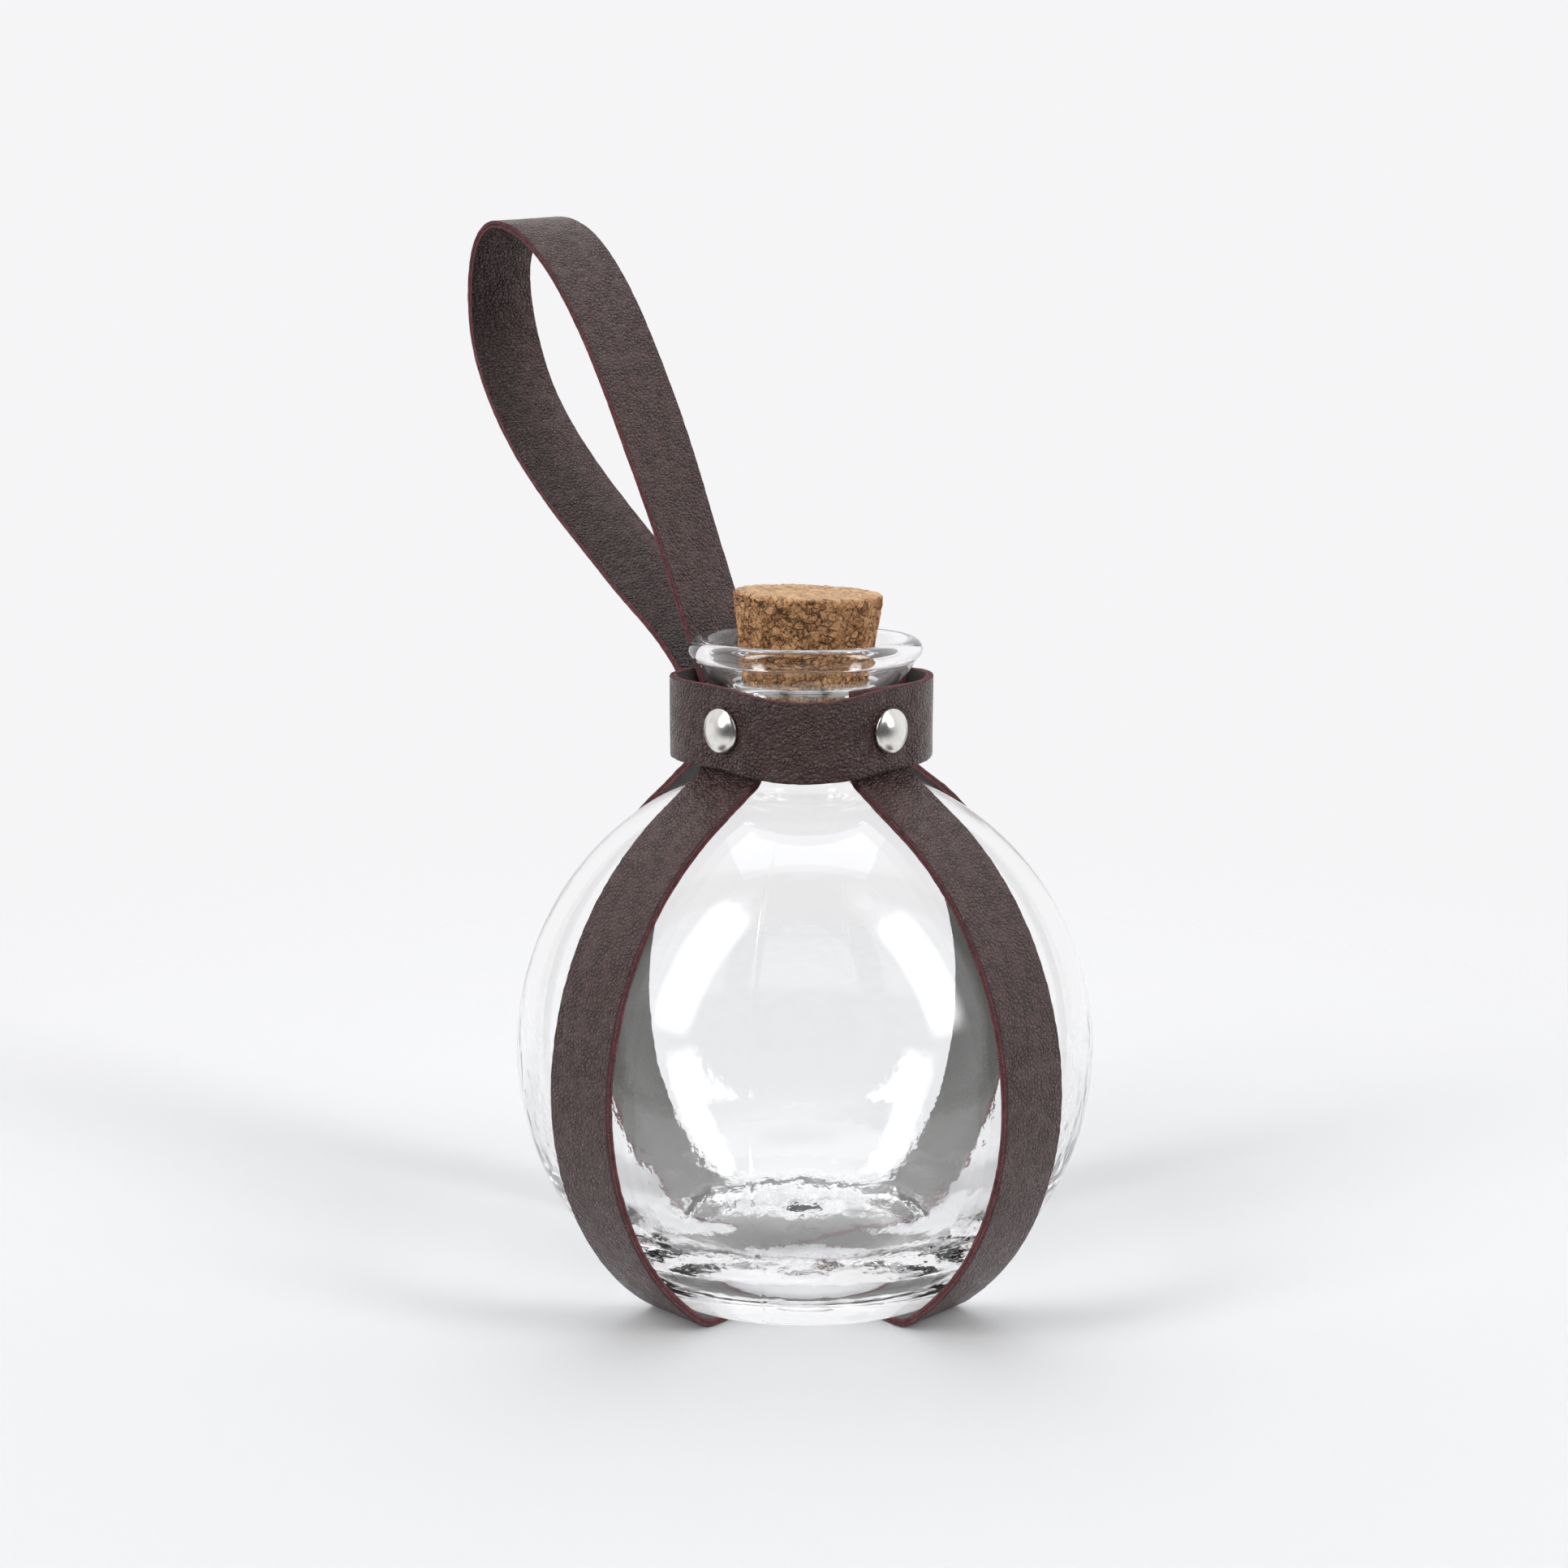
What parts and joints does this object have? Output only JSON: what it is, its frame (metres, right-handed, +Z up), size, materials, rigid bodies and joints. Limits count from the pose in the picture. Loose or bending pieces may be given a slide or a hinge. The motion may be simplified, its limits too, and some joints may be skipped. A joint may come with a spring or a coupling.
{
  "type": "glass canteen",
  "caption": "Round clear glass bottle with a cork stopper, carried in a riveted dark leather harness with straps crossed under the base, a neck collar and a loop handle.",
  "frame": {"origin": "on the bottle's axis, at the surface the canteen stands on", "axes": "+Z up the bottle's axis; the handle is on the -X side; the straps rise at +X, -X, +Y and -Y"},
  "size_m": [0.1441, 0.1116, 0.1999],
  "materials": {
    "clear_glass": "clear, fire polished, slightly rippled inside",
    "cork": "pressed cork granules",
    "brown_leather": "pebble grain, semi-gloss, with raw burgundy edges",
    "nickel": "polished nickel plate"
  },
  "bodies": {
    "harness": {"collar_strap": "brown_leather", "cradle_strap_lower": "brown_leather", "cradle_strap_upper": "brown_leather", "handle_outer_end_face": "brown_leather", "handle_outer_end_lining": "brown_leather", "handle_inner_end_face": "brown_leather", "handle_inner_end_lining": "brown_leather", "rivet_cap_front": "nickel", "rivet_cap_left": "nickel", "rivet_cap_right": "nickel", "rivet_cap_handle_side": "nickel", "rivet_post_front": "nickel", "rivet_post_left": "nickel", "rivet_post_right": "nickel", "rivet_post_handle_side": "nickel"},
    "bottle": {"glass_bottle": "clear_glass"},
    "cork": {"cork_stopper": "cork"},
    "handle": {"handle_face_layer": "brown_leather", "handle_lining_layer": "brown_leather"}
  },
  "joints": [
    {"name": "bottle_turn", "type": "hinge", "parent": "harness", "child": "bottle", "pos_m": [0, 0, 0.045], "axis": [0, 0, 1], "continuous": true},
    {"name": "cork_pull", "type": "slide", "parent": "bottle", "child": "cork", "axis": [0, 0, 1], "range_m": [0, 0.03]},
    {"name": "handle_swing", "type": "hinge", "parent": "harness", "child": "handle", "pos_m": [-0.02285, 0, 0.1152], "axis": [0, -1, 0], "range_deg": [0, 50], "stiffness_Nm_per_rad": 0.08}
  ]
}
